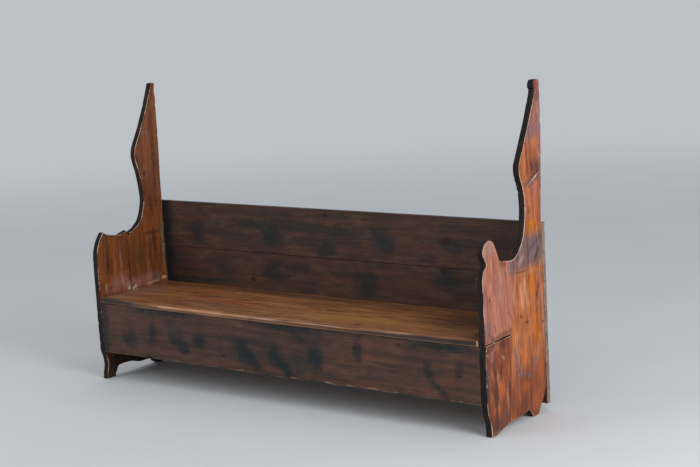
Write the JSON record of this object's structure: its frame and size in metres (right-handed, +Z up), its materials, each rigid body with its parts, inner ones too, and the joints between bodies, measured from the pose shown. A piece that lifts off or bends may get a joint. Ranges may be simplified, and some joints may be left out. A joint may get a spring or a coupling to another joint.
{
  "type": "monks bench",
  "caption": "Long pine settle with tall shaped plank ends, a boarded back and a plank seat that lifts as the lid of a chest.",
  "frame": {"origin": "on the floor, under the middle of the bench's outer box", "axes": "+X along the bench to the sitter's left, which is the right-hand end in the picture, +Y from front to back, +Z up"},
  "size_m": [2.2, 0.5026, 1.401],
  "materials": {
    "end_pine": "old waxed pine, honey to red brown, greyed in patches, worn pale at the edges",
    "seat_pine": "old waxed pine, rubbed golden brown, pale along the worn front edge",
    "dark_pine": "dark red-brown stained pine with blackish blotches",
    "inner_pine": "dry unwaxed pine, dusty brown",
    "iron": "dull brown-black forged iron"
  },
  "bodies": {
    "bench": {"back_bottom": "dark_pine", "back_middle": "dark_pine", "back_nail_left_1": "iron", "back_nail_left_2": "iron", "back_nail_left_3": "iron", "back_nail_left_4": "iron", "back_nail_left_5": "iron", "back_nail_left_6": "iron", "back_nail_right_1": "iron", "back_nail_right_2": "iron", "back_nail_right_3": "iron", "back_nail_right_4": "iron", "back_nail_right_5": "iron", "back_nail_right_6": "iron", "back_top": "dark_pine", "bottom_board_1": "inner_pine", "bottom_board_2": "inner_pine", "bottom_board_3": "inner_pine", "bottom_cleat": "inner_pine", "end_left_front": "end_pine", "end_left_rear": "end_pine", "end_right_arm": "end_pine", "end_right_leg": "end_pine", "end_right_rear": "end_pine", "floor_batten_left": "inner_pine", "floor_batten_left_nail_1": "iron", "floor_batten_left_nail_2": "iron", "floor_batten_left_nail_3": "iron", "floor_batten_right": "inner_pine", "floor_batten_right_nail_1": "iron", "floor_batten_right_nail_2": "iron", "floor_batten_right_nail_3": "iron", "front_board": "dark_pine", "front_nail_left_1": "iron", "front_nail_left_2": "iron", "front_nail_left_3": "iron", "front_nail_right_1": "iron", "front_nail_right_2": "iron", "front_nail_right_3": "iron", "hinge_pin_left": "iron", "hinge_pin_right": "iron", "seat_bearer_left": "inner_pine", "seat_bearer_left_nail_1": "iron", "seat_bearer_left_nail_2": "iron", "seat_bearer_left_nail_3": "iron", "seat_bearer_right": "inner_pine", "seat_bearer_right_nail_1": "iron", "seat_bearer_right_nail_2": "iron", "seat_bearer_right_nail_3": "iron"},
    "lid": {"lid_batten_left": "inner_pine", "lid_batten_left_nail_1": "iron", "lid_batten_left_nail_2": "iron", "lid_batten_left_nail_3": "iron", "lid_batten_right": "inner_pine", "lid_batten_right_nail_1": "iron", "lid_batten_right_nail_2": "iron", "lid_batten_right_nail_3": "iron", "seat_lid": "seat_pine"}
  },
  "joints": [
    {"name": "lid_hinge", "type": "hinge", "parent": "bench", "child": "lid", "pos_m": [0, 0.2077, 0.389], "axis": [-1, 0, 0], "range_deg": [0, 90.3]}
  ]
}
